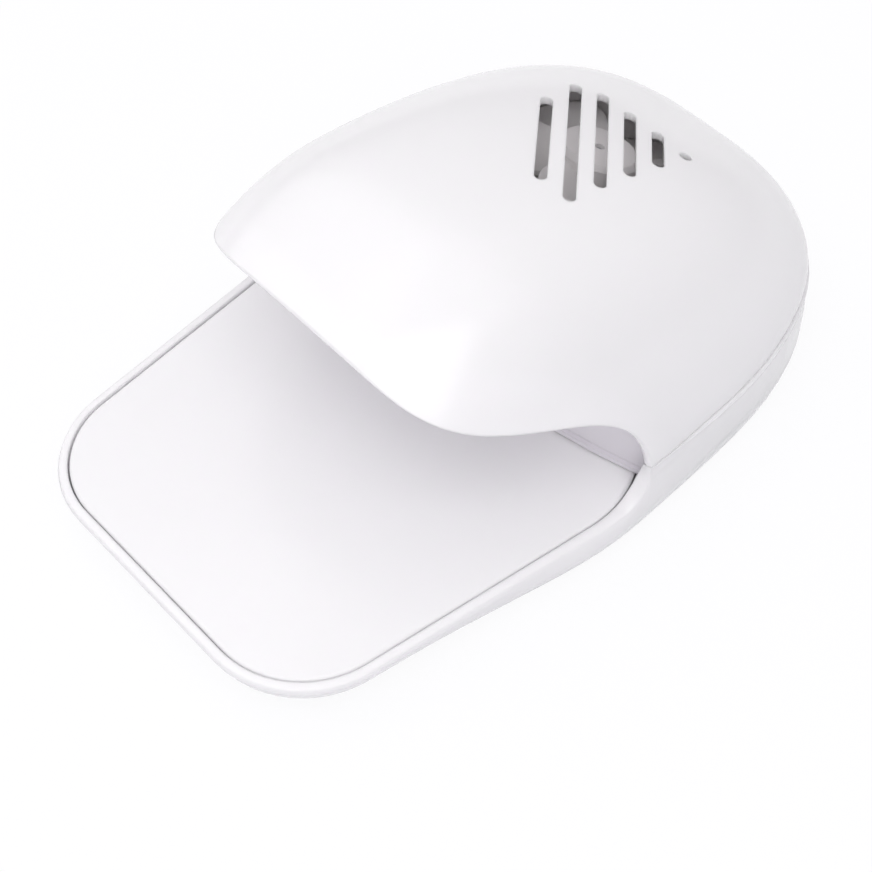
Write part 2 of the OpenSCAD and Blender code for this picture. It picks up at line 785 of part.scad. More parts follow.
// Skirt round the plate's edge and ribs across its underside
module plate_ribs() {
    skirt_in = 0.6;
    skirt_t = 1.4;
    rib_t = 1.2;
    rib_h = 1.2;
    rear = pivot.y - 6;
    intersection() {
        translate([0, 0, plate_top - plate_skirt])
            linear_extrude(plate_skirt - plate_t + 0.5)
                difference() {
                    plate_plan(-skirt_in);
                    plate_plan(-skirt_in - skirt_t);
                }
        box([-hood_half_w, base_front_y, 0], [hood_half_w, rear, plate_top]);
    }
    translate([0, 0, plate_under - rib_h])
        intersection() {
            linear_extrude(rib_h + 0.5) plate_plan(-skirt_in - skirt_t / 2);
            union() {
                for (x = [-12, 12]) box([x - rib_t / 2, base_front_y, 0], [x + rib_t / 2, rear, rib_h + 0.5]);
                for (y = [-50, -18, rear - 2])
                    box([-hood_half_w, y - rib_t / 2, 0], [hood_half_w, y + rib_t / 2, rib_h + 0.5]);
            }
        }
}

module plate_hooks() {
    toe_top = gate_z - 0.1;
    toe_low = gate_z - 1.6;
    for (side = [-1, 1]) translate([side * hook_at.x, hook_at.y, 0]) {
        box([-hook_w / 2, -1, toe_low], [hook_w / 2, 0.5, plate_under + 0.5]);
        box([-hook_w / 2, -1, toe_low], [hook_w / 2, 2.2, toe_top]);
    }
}

module pivot_pins() {
    l = 2 * (ear_x + ear_l);
    color("silver")
    for (side = [-1, 1])
        translate([side * pivot.x - l / 2, pivot.y, pivot.z]) rotate([0, 90, 0]) cylinder(r = pivot_pin_r, h = l);
}

// A round wire swept along a list of points, with flat ends square to the first and last run
function cross3(a, b) = [a.y * b.z - a.z * b.y, a.z * b.x - a.x * b.z, a.x * b.y - a.y * b.x];
function run_dir(p, i) = unit(p[min(i + 1, len(p) - 1)] - p[max(i - 1, 0)]);
function carried(n, d) = unit(n - (n * d) * d);
function normals(p, i = 0, n = [0.31, 0.22, 0.93]) =
    i == len(p) ? [] : let (m = carried(n, run_dir(p, i))) concat([m], normals(p, i + 1, m));
module swept_wire(p, d, sides) {
    ns = normals(p);
    points = [
        for (i = [0 : len(p) - 1], k = [0 : sides - 1])
            let (n = ns[i], b = cross3(run_dir(p, i), n), a = 360 * k / sides)
            p[i] + (cos(a) * n + sin(a) * b) * d / 2
    ];
    last = (len(p) - 1) * sides;
    polyhedron(points, concat(ring_faces(len(p), sides), cap_faces(0, sides, true), cap_faces(last, sides, false)));
}

// A coil spring standing on z = 0: closed turns at both ends, open turns between
module coil_spring(r_low, r_high, h, wire, turns) {
    per_turn = 10;
    n = turns * per_turn;
    swept_wire(
        [for (i = [0 : n])
            let (a = 360 * i / per_turn, s = i / n, r = r_low + (r_high - r_low) * s)
            [r * cos(a), r * sin(a), wire / 2 + (h - wire) * s]],
        wire, 6
    );
}

module plate_springs() {
    color("silver")
    for (side = [-1, 1])
        translate([side * spring_at.x, spring_at.y, floor_top + 0.05])
            coil_spring(spring_r, spring_r, plate_under - floor_top - 0.1, spring_wire, 4);
}

module switch_body() {
    color("dimgray")
    translate([0, switch_y, floor_top + 0.02])
        difference() {
            box([-switch_w / 2, -switch_w / 2, 0], [switch_w / 2, switch_w / 2, switch_h]);
            translate([0, 0, 0.8]) cylinder(r = button_r + running, h = switch_h);
        }
}

module switch_button() {
    color("black")
    translate([0, switch_y, floor_top + 2]) cylinder(r = button_r, h = button_top - floor_top - 2);
}

terminal_z = floor_top + 1;
module switch_terminals() {
    color("goldenrod")
    for (side = [-1, 1])
        translate([side * (switch_w / 2 + 1.1), switch_y, terminal_z])
            cube([2, 1.6, 0.4], center = true);
}

module fan_frame() {
    color("whitesmoke")
    on_fan_axis() difference() {
        union() {
            translate([0, 0, ring_top - ring_h])
                difference() {
                    cylinder(r = fan_r + ring_gap + ring_wall, h = ring_h);
                    translate([0, 0, -1]) cylinder(r = fan_r + ring_gap, h = ring_h + 2);
                }
            translate([0, 0, cup_floor_z - cup_h]) cylinder(r = motor_r + 0.1 + cup_wall, h = cup_h);
            for (a = [45 : 90 : 315]) rotate([0, 0, a])
                box([motor_r, -1.1, ring_top - ring_h], [fan_r + ring_gap + 0.5, 1.1, cup_floor_z - 1]);
            at_frame_ears() {
                translate([0, 0, ear_z - ear_t]) cylinder(r = frame_boss_r + 0.4, h = ear_t);
                translate([0, 0, ear_z - ear_t])
                    box([-3.4 - ring_wall / 2, -2.4, 0], [0, 2.4, ear_t]);
            }
        }
        translate([0, 0, cup_floor_z - cup_h - 1]) cylinder(r = motor_r + 0.1, h = cup_h + 1 - cup_floor_t);
        translate([0, 0, cup_floor_z - 5]) cylinder(r = 4, h = 10);
        at_frame_ears() translate([0, 0, ear_z - ear_t - 1]) cylinder(r = frame_screw_r + 0.12, h = ear_t + 2);
    }
}

// Impeller: a cup-shaped hub and helicoid blades that lean with the turn
blade_top = -1.4;
blade_fall = 5.4;
blade_sweep = 48;
blade_t = 1.1;
module fan_blade() {
    stations = 5;
    chord = 6;
    r0 = hub_r - 0.6;
    function at(k, u, depth) =
        let (
            r = r0 + (fan_r - r0) * k / stations,
            a = blade_sweep * (u - 0.5) + 14 * pow(k / stations, 2),
            z = blade_top - blade_fall * u + 0.7 * sin(180 * u) - depth
        )
        [r * cos(a), r * sin(a), z];
    ring = 2 * (chord + 1);
    points = [
        for (k = [0 : stations])
            each concat([for (j = [0 : chord]) at(k, j / chord, 0)],
                        [for (j = [chord : -1 : 0]) at(k, j / chord, blade_t)])
    ];
    polyhedron(points, concat(ring_faces(stations + 1, ring), cap_faces(0, ring, true),
                              cap_faces(stations * ring, ring, false)));
}
module fan_impeller() {
    wall = 1.3;
    boss = 2.6;
    bore = shaft_r + 0.02;
    color("white")
    on_fan_axis() union() {
        rotate_extrude()
            polygon([[bore, -hub_h], [boss, -hub_h], [boss, -1.6], [hub_r - wall, -1.6],
                     [hub_r - wall, -hub_h + 0.4], [hub_r, -hub_h + 0.4], [hub_r, -1],
                     [hub_r - 1, 0], [bore, 0]]);
        for (i = [0 : blades - 1]) rotate([0, 0, 360 * i / blades]) fan_blade();
    }
}

module motor_shaft() {
    color("silver")
    on_fan_axis() translate([0, 0, motor_bottom + 0.6]) cylinder(r = shaft_r, h = -motor_bottom - 1.4);
}

module motor_can() {
    color("silver")
    on_fan_axis() difference() {
        union() {
            translate([0, 0, motor_bottom]) cylinder(r = motor_r, h = motor_l - 0.02);
            translate([0, 0, motor_top - 0.1]) cylinder(r = 3.2, h = cup_floor_t + 0.1);
        }
        translate([0, 0, motor_bottom - 1]) cylinder(r = shaft_r + running, h = motor_l + 5);
    }
}

module motor_end_cap() {
    color("dimgray")
    on_fan_axis() translate([0, 0, motor_bottom - 1.5]) cylinder(r = motor_r - 0.8, h = 1.5);
}

motor_tag_x = 5;
module motor_terminals() {
    color("goldenrod")
    on_fan_axis() for (side = [-1, 1])
        translate([side * motor_tag_x, 0, motor_bottom - 2.7]) cube([0.4, 1.8, 2.4], center = true);
}

// A cell lies along X; way is the side that its nub points to
module cell(y, way) {
    nub_r = 2.7;
    nub_l = 1;
    color("darkseagreen")
    translate([0, y, cell_z]) rotate([0, 90 * way, 0])
        rotate_extrude()
            polygon([[0, -cell_l / 2], [cell_d / 2 - 0.6, -cell_l / 2], [cell_d / 2, -cell_l / 2 + 0.6],
                     [cell_d / 2, cell_l / 2 - 0.6], [cell_d / 2 - 0.6, cell_l / 2],
                     [nub_r, cell_l / 2], [nub_r, cell_l / 2 + nub_l], [0, cell_l / 2 + nub_l]]);
}
module battery_front() { cell(cell_y[0], -1); }
module battery_rear() { cell(cell_y[1], 1); }

// Sprung contact strips on the bay's end walls
contact_t = 0.4;
contact_x = bay_half - 0.2 - contact_t;
contact_w = 10;
module contact_plate(y0, y1) {
    box([contact_x, y0, door_top + 2], [contact_x + contact_t, y1, cell_z + 4]);
}
module contact_boss(y) {
    translate([cell_l / 2 + 1.1, y, cell_z]) rotate([0, 90, 0])
        cylinder(r1 = 2, r2 = 2.8, h = contact_x - cell_l / 2 - 1.1);
}
module contact_tab(y) {
    box([contact_x, y - 1.5, cell_z + 4], [contact_x + contact_t, y + 1.5, bay_top + bay_wall + 2.4]);
}
module contact_bridge() {
    color("silver")
    mirror([1, 0, 0]) {
        contact_plate(cell_y[0] - contact_w / 2, cell_y[1] + contact_w / 2);
        contact_boss(cell_y[0]);
    }
}
module contact_positive() {
    color("silver") {
        contact_plate(cell_y[1] - contact_w / 2, cell_y[1] + contact_w / 2);
        contact_boss(cell_y[1]);
        contact_tab(cell_y[1]);
    }
}
module contact_negative() {
    color("silver") {
        contact_plate(cell_y[0] - contact_w / 2, cell_y[0] + contact_w / 2);
        contact_tab(cell_y[0]);
    }
}
module battery_springs() {
    l = contact_x - cell_l / 2 - 0.1;
    color("silver")
    for (i = [0, 1])
        translate([i == 0 ? contact_x - 0.05 : -contact_x + 0.05, cell_y[i], cell_z])
            rotate([0, i == 0 ? -90 : 90, 0]) coil_spring(0.3 * cell_d, 0.18 * cell_d, l, spring_wire, 3);
}

// Battery door: a rolled front edge that it swings on, tongues that reach under the
// cross wall, and a latch at the rear
module battery_door() {
    half = bay_half + door_over;
    y0 = cross_y + door_gap;
    y1 = bay_y1 + door_over;
    roll_r = door_t / 2;
    tongue_z = door_top + tongue_lift;
    color("whitesmoke")
    difference() {
        union() {
            box([-half, y0 + roll_r, foot_h + 0.1], [half, y1, door_top]);
            translate([-half, y0 + roll_r, door_top - roll_r]) rotate([0, 90, 0]) cylinder(r = roll_r, h = 2 * half);
            for (side = [-1, 1]) translate([side * tongue_x, 0, 0]) {
                box([-tongue_w / 2, y0 + roll_r - 0.3, door_top - 0.5],
                    [tongue_w / 2, bay_y0 - 0.1, tongue_z + tongue_t]);
                box([-tongue_w / 2, cross_y - tongue_reach, tongue_z],
                    [tongue_w / 2, bay_y0 - 0.1, tongue_z + tongue_t]);
            }
            box([-latch_w / 2, bay_y1 - 0.1, door_top - 0.5],
                [latch_w / 2, bay_y1 - 0.1 + latch_t, door_top + latch_h]);
        }
        // Thumb recess outside, by the latch
        translate([0, y1 - 9, foot_h - 3.2]) sphere(r = 4.4);
    }
}

module case_screws() {
    color("silver")
    at_case_screws() difference() {
        union() {
            translate([0, 0, case_head_z]) cylinder(r = case_head_r, h = case_head_h);
            translate([0, 0, case_head_z + case_head_h - 0.5]) cylinder(r = case_shank_r, h = case_shank_l - case_head_h);
        }
        for (a = [0, 90]) rotate([0, 0, a])
            box([-1.4, -0.35, case_head_z - 1], [1.4, 0.35, case_head_z + 1]);
    }
}

module frame_screws() {
    head_h = 1.2;
    color("silver")
    on_fan_axis() at_frame_ears() {
        translate([0, 0, ear_z - ear_t - head_h]) cylinder(r = 1.9, h = head_h);
        translate([0, 0, ear_z - ear_t - 0.1]) cylinder(r = frame_screw_r, h = frame_screw_l);
    }
}

module rubber_feet() {
    color("darkgray")
    at_feet() cylinder(r = foot_r, h = foot_h + foot_seat - 0.02);
}

// Routes of the wires, from the contact tabs to the switch and the motor
tab_top = bay_top + bay_wall + 2.6;
motor_tag = [motor_tag_x, fan_y + sin(fan_tilt) * (motor_bottom - 4.6), fan_z + cos(fan_tilt) * (motor_bottom - 4.6)];
supply_route = [
    [contact_x, cell_y[1], tab_top], [contact_x + 0.6, cell_y[1] - 0.4, tab_top + 1.4],
    [30.5, 45, 24], [33, 42, 21], [34.6, 39, 16.5], [35.2, 35, 11.5], [wire_x, 31, 7.6],
    [wire_x, 27, 5.4], [wire_x, 22, 4.8], [34.6, 15, 4.6], [31, 6, 4.6], [26, -4, 4.6],
    [20, -14, 4.6], [13.5, -24, 4.5], [9, -28.5, 4.3], [5.6, switch_y, terminal_z]
];
switched_route = [
    [-5.6, switch_y, terminal_z], [-9, -28.5, 4.3], [-13.5, -24, 4.5], [-20, -14, 4.6], [-26, -4, 4.6],
    [-31, 6, 4.6], [-34.6, 15, 4.6], [-wire_x, 22, 4.8], [-wire_x, 27, 5.4], [-wire_x, 31, 7.6],
    [-35.2, 35, 11.5], [-34.4, 38, 16.5], [-31.5, 39, 21], [-26, 38, 23], [-19, 35, 23.2],
    [-12, 31.5, 23], [-8, 29.9, 22.9], [-motor_tag.x, motor_tag.y, motor_tag.z]
];
return_route = [
    [contact_x, cell_y[0], tab_top], [contact_x - 0.5, cell_y[0] - 0.2, tab_top + 1.2],
    [24.5, 31.6, 23.8], [19, 31, 23.6], [12, 30.4, 23.2], [8, 29.9, 22.9],
    [motor_tag.x, motor_tag.y, motor_tag.z]
];
module wire_supply() { color("firebrick") swept_wire(supply_route, wire_d, 8); }
module wire_switched() { color("ivory") swept_wire(switched_route, wire_d, 8); }
module wire_return() { color("black") swept_wire(return_route, wire_d, 8); }

base_shell();
hood_shell();
air_guide();
finger_plate();
pivot_pins();
plate_springs();
switch_body();
switch_button();
switch_terminals();
fan_frame();
fan_impeller();
motor_can();
motor_shaft();
motor_end_cap();
motor_terminals();
battery_front();
battery_rear();
contact_bridge();
contact_positive();
contact_negative();
battery_springs();
battery_door();
case_screws();
frame_screws();
rubber_feet();
wire_supply();
wire_switched();
wire_return();
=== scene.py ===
import math

import bmesh
import bpy
from mathutils import Matrix, Vector


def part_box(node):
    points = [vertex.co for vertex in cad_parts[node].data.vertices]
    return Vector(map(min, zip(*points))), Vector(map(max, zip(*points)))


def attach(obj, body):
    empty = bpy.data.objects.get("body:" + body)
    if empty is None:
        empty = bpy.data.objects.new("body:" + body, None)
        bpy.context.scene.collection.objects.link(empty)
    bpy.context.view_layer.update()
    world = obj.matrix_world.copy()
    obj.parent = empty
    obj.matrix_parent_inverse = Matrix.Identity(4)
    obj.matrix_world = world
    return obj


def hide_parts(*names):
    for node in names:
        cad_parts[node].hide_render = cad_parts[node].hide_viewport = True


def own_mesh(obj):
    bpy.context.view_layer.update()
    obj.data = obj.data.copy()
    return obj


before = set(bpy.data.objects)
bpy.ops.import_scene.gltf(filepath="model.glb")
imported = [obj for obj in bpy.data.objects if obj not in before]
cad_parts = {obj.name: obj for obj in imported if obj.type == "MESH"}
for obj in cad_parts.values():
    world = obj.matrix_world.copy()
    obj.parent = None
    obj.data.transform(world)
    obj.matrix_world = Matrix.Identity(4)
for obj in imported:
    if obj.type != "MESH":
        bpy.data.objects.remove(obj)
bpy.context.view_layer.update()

# ---- Camera -------------------------------------------------------------------
# The dryer is seen from its right front corner, from well above, with a short
# telephoto lens. Its place was fitted to the dryer's outline and plate.
MM = 0.001  # sizes are written in millimetres
aim = Vector((4.3, -9.4, 0.0)) * MM
azimuth, elevation = math.radians(47.73), math.radians(52.56)
distance = 375.2 * MM
focal_px, frame_px = 1803.2, 872
look = Vector((-math.sin(azimuth) * math.cos(elevation),
               math.cos(azimuth) * math.cos(elevation),
               -math.sin(elevation)))
lens = bpy.data.cameras.new("camera")
lens.sensor_width = 36.0
lens.lens = lens.sensor_width * focal_px / frame_px
lens.clip_start = 0.01
camera = bpy.data.objects.new("camera", lens)
camera.location = aim - look * distance
camera.rotation_euler = look.to_track_quat("-Z", "Y").to_euler()
bpy.context.scene.collection.objects.link(camera)
bpy.context.scene.camera = camera
bpy.context.scene.view_settings.view_transform = "Standard"


# ---- Floor and light ----------------------------------------------------------
# A white paper sweep under an even white surround, with large softboxes at the left,
# above the camera and overhead.
def linear(hex_colour):
    """An sRGB hex colour as the linear colour that a shader socket takes."""
    channels = [int(hex_colour[i:i + 2], 16) / 255 for i in (1, 3, 5)]
    return (*(c / 12.92 if c <= 0.04045 else ((c + 0.055) / 1.055) ** 2.4 for c in channels), 1.0)


def add(tree, kind, settings=None, **inputs):
    """One shader node. Settings are its own options; inputs are values, or sockets to link.
    An input is named as its socket is, with _ for a space, or by its place: i0, i1."""
    node = tree.nodes.new(kind)
    for name, value in (settings or {}).items():
        setattr(node, name, value)
    for name, value in inputs.items():
        place = int(name[1:]) if name[1:].isdigit() else name.replace("_", " ")
        socket = node.inputs[place]
        if isinstance(value, bpy.types.NodeSocket):
            tree.links.new(value, socket)
        else:
            socket.default_value = value
    return node


def blank_material(name):
    """A material with an empty node tree, and the tree."""
    material = bpy.data.materials.new(name)
    material.use_nodes = True
    material.node_tree.nodes.clear()
    return material, material.node_tree


# Paper that the camera and the gloss see as lit white; what lights the dryer from below
# is its plain diffuse white. Its fibres are about 1 mm apart, so that they show.
sweep_paper, tree = blank_material("white_sweep_paper")
rays = add(tree, "ShaderNodeLightPath")
seen = add(tree, "ShaderNodeMath", {"operation": "MAXIMUM"}, i0=rays.outputs["Is Camera Ray"],
           i1=rays.outputs["Is Glossy Ray"])
fibre_place = add(tree, "ShaderNodeTexCoord").outputs["Object"]
fibres = add(tree, "ShaderNodeTexNoise", Vector=fibre_place, Scale=900.0, Detail=3.0)
tooth = add(tree, "ShaderNodeBump", Height=fibres.outputs["Fac"], Strength=0.1, Distance=0.05 * MM)
paper = add(tree, "ShaderNodeBsdfDiffuse", Color=linear("#DADADE"), Normal=tooth.outputs[0])
thin_paper = add(tree, "ShaderNodeBsdfDiffuse", Color=linear("#5C5C60"), Normal=tooth.outputs[0])
glow = add(tree, "ShaderNodeEmission", Color=linear("#FFFFFF"), Strength=0.89)
lit = add(tree, "ShaderNodeAddShader", i0=thin_paper.outputs[0], i1=glow.outputs[0])
# From 0.25 m outwards it fades to plain white, so that its far edge doesn't show
reach = add(tree, "ShaderNodeVectorMath", {"operation": "LENGTH"}, i0=fibre_place)
fade = add(tree, "ShaderNodeMapRange", {"interpolation_type": "SMOOTHSTEP"},
           Value=reach.outputs["Value"], From_Min=0.25, From_Max=1.1)
white = add(tree, "ShaderNodeEmission", Color=linear("#FFFFFF"), Strength=1.0)
lit = add(tree, "ShaderNodeMixShader", Fac=fade.outputs[0], i1=lit.outputs[0],
          i2=white.outputs[0])
sheet = add(tree, "ShaderNodeMixShader", Fac=seen.outputs[0], i1=paper.outputs[0],
            i2=lit.outputs[0])
# From below the sheet doesn't show, so that the underside can be looked at
side_of_sheet = add(tree, "ShaderNodeNewGeometry")
nothing = add(tree, "ShaderNodeBsdfTransparent")
sheet = add(tree, "ShaderNodeMixShader", Fac=side_of_sheet.outputs["Backfacing"],
            i1=sheet.outputs[0], i2=nothing.outputs[0])
add(tree, "ShaderNodeOutputMaterial", Surface=sheet.outputs[0])

floor_mesh = bpy.data.meshes.new("floor")
bm = bmesh.new()
bmesh.ops.create_grid(bm, x_segments=2, y_segments=2, size=3.0)
# A hair under the feet, so that the two faces don't fight
bmesh.ops.translate(bm, verts=bm.verts, vec=(0, 0, -0.05 * MM))
bm.to_mesh(floor_mesh)
bm.free()
floor = bpy.data.objects.new("floor", floor_mesh)
floor_mesh.materials.append(sweep_paper)
bpy.context.scene.collection.objects.link(floor)

world = bpy.data.worlds.new("studio_surround")
bpy.context.scene.world = world
world.use_nodes = True
tree = world.node_tree
tree.nodes.clear()
rays = add(tree, "ShaderNodeLightPath")
seen = add(tree, "ShaderNodeMath", {"operation": "MAXIMUM"}, i0=rays.outputs["Is Camera Ray"],
           i1=rays.outputs["Is Transmission Ray"])
surround = add(tree, "ShaderNodeBackground", Color=linear("#F8F5F9"), Strength=0.56)
backdrop = add(tree, "ShaderNodeBackground", Color=linear("#FFFFFF"), Strength=1.0)
room = add(tree, "ShaderNodeMixShader", Fac=seen.outputs[0], i1=surround.outputs[0],
           i2=backdrop.outputs[0])
add(tree, "ShaderNodeOutputWorld", Surface=room.outputs[0])


def softbox(name, place, target, size, power, colour):
    """A rectangular area lamp that faces its target."""
    light = bpy.data.lights.new(name, "AREA")
    light.shape = "RECTANGLE"
    light.size, light.size_y = size
    light.energy = power
    light.color = linear(colour)[:3]
    lamp = bpy.data.objects.new(name, light)
    lamp.location = place
    lamp.rotation_euler = (Vector(target) - Vector(place)).to_track_quat("-Z", "Y").to_euler()
    bpy.context.scene.collection.objects.link(lamp)


softbox("left_softbox", (-0.80, -0.25, 0.80), (0, 0, 0.03), (1.4, 1.4), 3.2, "#FFFFFF")
softbox("right_front_softbox", (0.50, -0.50, 0.95), (0, 0, 0.03), (1.0, 1.0), 5.8, "#FFFFFF")
softbox("overhead_softbox", (0.0, 0.1, 1.20), (0, 0, 0.03), (1.4, 1.4), 2.2, "#FFFFFF")


# ---- Base shell ---------------------------------------------------------------
# The lower half of the case, injection moulded in one piece of white ABS. Its tool
# is polished, so the skin is glossy with a faint ripple from the cooling melt.
def moulded_plastic(name, light_hex, shade_hex, roughness, edge_mm, ior=1.53,
                    grain=(500.0, 0.04), glow_mm=0.0):
    """A moulded plastic: slight cloudiness, uneven gloss, a ripple or grain (its scale and
    strength), edges softened over edge_mm, and light that spreads glow_mm inside it."""
    material, tree = blank_material(name)
    place = add(tree, "ShaderNodeTexCoord").outputs["Object"]
    # Cloudiness of the melt, about 25 mm across
    cloud = add(tree, "ShaderNodeTexNoise", Vector=place, Scale=40.0, Detail=2.0)
    tone = add(tree, "ShaderNodeMix", {"data_type": "RGBA"}, Factor=cloud.outputs["Fac"],
               i6=linear(light_hex), i7=linear(shade_hex))
    # Gloss varies where the melt met the tool, about 8 mm across
    patch = add(tree, "ShaderNodeTexNoise", Vector=place, Scale=125.0, Detail=3.0)
    gloss = add(tree, "ShaderNodeMapRange", Value=patch.outputs["Fac"], To_Min=roughness - 0.04,
                To_Max=roughness + 0.04)
    ripple = add(tree, "ShaderNodeTexNoise", Vector=place, Scale=grain[0], Detail=1.0)
    edge = add(tree, "ShaderNodeBevel", {"samples": 4}, Radius=edge_mm * MM)
    bump = add(tree, "ShaderNodeBump", Height=ripple.outputs["Fac"], Strength=grain[1],
               Distance=0.05 * MM, Normal=edge.outputs[0])
    skin = add(tree, "ShaderNodeBsdfPrincipled", Base_Color=tone.outputs[2],
               Roughness=gloss.outputs[0], IOR=ior, Normal=bump.outputs[0])
    if glow_mm:
        # White plastic soaks up light and lets it out again a little way off, so that
        # thin edges and narrow grooves in it look soft
        skin.inputs["Subsurface Weight"].default_value = 0.6
        skin.inputs["Subsurface Radius"].default_value = (1.0, 0.95, 1.0)
        skin.inputs["Subsurface Scale"].default_value = glow_mm * MM
    add(tree, "ShaderNodeOutputMaterial", Surface=skin.outputs[0])
    return material


abs_white = moulded_plastic("abs_white_polished", "#F9F8FA", "#F7F6F8", 0.2, 0.6, glow_mm=1.5)


def joined_copy(node):
    """A bmesh copy of a CAD node with its corners joined and its flat areas made whole."""
    bm = bmesh.new()
    bm.from_mesh(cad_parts[node].data)
    bmesh.ops.remove_doubles(bm, verts=bm.verts, dist=0.002 * MM)
    bmesh.ops.dissolve_degenerate(bm, edges=bm.edges, dist=0.001 * MM)
    bmesh.ops.recalc_face_normals(bm, faces=bm.faces)
    return bm


def finished(bm, name, body, slot, material, *nodes, angle=40.0):
    """Makes a piece of that body from bm, smooth but for edges sharper than angle, in place
    of those CAD nodes."""
    for face in bm.faces:
        face.smooth = True
    for edge in bm.edges:
        if len(edge.link_faces) == 2:
            edge.smooth = edge.calc_face_angle(0) < math.radians(angle)
    mesh = bpy.data.meshes.new(name)
    bm.to_mesh(mesh)
    bm.free()
    mesh.materials.append(material)
    piece = bpy.data.objects.new(name, mesh)
    bpy.context.scene.collection.objects.link(piece)
    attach(piece, body)
    if nodes:
        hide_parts(*nodes)
    return piece


def smooth_run(bm, start, angle):
    """The faces reached from start over edges flatter than angle, but for level ones."""
    run, edge_of_run = {start}, [start]
    while edge_of_run:
        face = edge_of_run.pop()
        for other in {f for e in face.edges for f in e.link_faces} - run:
            bend = face.normal.angle(other.normal)
            if abs(other.normal.z) < 0.97 and bend < math.radians(angle):
                run.add(other)
                edge_of_run.append(other)
    return run


def ease(s):
    """Rises smoothly from 0 at s = 0 to 1 at s = 1."""
    c = min(1.0, max(0.0, s))
    return c * c * (3 - 2 * c)


def widest(bm):
    """The upright face farthest out on the right."""
    upright = (f for f in bm.faces if abs(f.normal.z) < 0.3)
    return max(upright, key=lambda f: f.calc_center_median().x)


def past_notch(y):
    """0 at the notch, 1 from 16 mm behind it."""
    return ease((y - 8) / 16)


def towards_rear(y):
    """0 beside the fan, 1 at the rear."""
    return ease((y - 32) / 25)


# The side of the shell, cut into more rows under the joint
bm = joined_copy("base_shell")
for z in (20.3, 20.0, 19.6, 19.1, 18.4, 14.0, 9.0, 6.5):
    side = smooth_run(bm, widest(bm), 25)
    cut = side | {e for f in side for e in f.edges} | {v for f in side for v in f.verts}
    bmesh.ops.bisect_plane(bm, geom=list(cut), plane_co=(0, 0, z * MM), plane_no=(0, 0, 1),
                           dist=0.02 * MM)
bm.normal_update()
# A rounded bead stands out along the joint and fades at the notch. Towards the rear the
# side is narrower under it, and it draws in to the foot.
BEAD, BEAD_HALF_H, BEAD_Z, BEAD_TOP_Z = 0.3, 1.2, 20.3, 20.4
NECK, DRAWN_IN = 0.5, 1.12
side = smooth_run(bm, widest(bm), 50)
shifts = {}
for vert in {v for f in side for v in f.verts}:
    out = Vector((0, 0, 0))
    for face in vert.link_faces:
        if face in side:
            out += Vector((face.normal.x, face.normal.y, 0)).normalized() * face.calc_area()
    _, y, z = vert.co / MM
    rounding = max(0.0, 1 - ((BEAD_Z - z) / BEAD_HALF_H) ** 2) if z < BEAD_TOP_Z else 0.9
    bead = BEAD * past_notch(y) * rounding
    neck = NECK * towards_rear(y) * ease((z - 12) / 8)
    drawn_in = DRAWN_IN * ease((y + 12) / 42) * ease((19.5 - z) / 12.5)
    shifts[vert] = out.normalized() * (bead - neck - drawn_in) * MM
for vert, shift in shifts.items():
    vert.co += shift
finished(bm, "base_moulding", "housing", "shell_white", abs_white, "base_shell")

# ---- Hood ---------------------------------------------------------------------
# The upper half of the case, a domed shell 2 mm thick of the same polished ABS, with
# a swept lip and a row of slots. It stands on the base and is screwed on from below.
HOOD_W, WIDE_Y = 49.4, 0.0  # half its greatest width, and where that is
HOOD_TOP, CROWN_Y = 65.3, -10.8  # its greatest height, and where that is
REAR_Y, JOINT_Z, WALL = 78.6, 20.5, 2.0
NOSE_PLAN_R, NOSE_SIDE_R = 117, 46.5  # radii in front of the widest and the highest place
SECTION_X_POWER, SECTION_Z_POWER = 3.22, 1.4  # of its cross section, a superellipse


def hood_half_width(y, t):
    """Half the width at y of the skin t inside the outer one."""
    if y < WIDE_Y:
        return HOOD_W - t - (WIDE_Y - y) ** 2 / (2 * NOSE_PLAN_R)
    s = min(1.0, (y - WIDE_Y) / (REAR_Y - t - WIDE_Y))
    return (HOOD_W - t) * (1 - s ** 3.14) ** (1 / 3.01)


def hood_height(y, t):
    """The height at y of the skin t inside the outer one."""
    if y < CROWN_Y:
        return HOOD_TOP - t - (CROWN_Y - y) ** 2 / (2 * NOSE_SIDE_R)
    s = min(1.0, (y - CROWN_Y) / (REAR_Y - t - CROWN_Y))
    return JOINT_Z + (HOOD_TOP - t - JOINT_Z) * (1 - s ** 1.5) ** (1 / 1.84)


def hood_point(y, a, t):
    """Point t inside the outer skin; a runs from 0 on the right side over the top to pi."""
    c, s = math.cos(a), max(0.0, math.sin(a))
    return Vector((hood_half_width(y, t) * math.copysign(abs(c) ** (2 / SECTION_X_POWER), c), y,
                   JOINT_Z + (hood_height(y, t) - JOINT_Z) * s ** (2 / SECTION_Z_POWER)))


def lip_curve(s):
    """Side view (y, z) of the lip, from the middle of the hood down to the joint."""
    p = ((-39.0, 58.2), (-36.5, 39.9), (3.3, 49.3), (5.3, 20.5))
    k = ((1 - s) ** 3, 3 * (1 - s) ** 2 * s, 3 * (1 - s) * s * s, s ** 3)
    return tuple(sum(k[i] * p[i][j] for i in range(4)) for j in range(2))


def lip_y(a, t):
    """Y where the line of the skin at angle a meets the lip."""
    low, high = 0.0, 1.0
    for _ in range(30):
        mid = (low + high) / 2
        y, z = lip_curve(mid)
        low, high = (mid, high) if hood_point(y, a, t).z < z else (low, mid)
    return lip_curve(high)[0]


def row_y(lip, rear, v):
    """Y of the row v of the way from the lip to the rear, where the rows crowd."""
    return lip + (rear - lip) * (1 - (1 - v) ** 2.4)


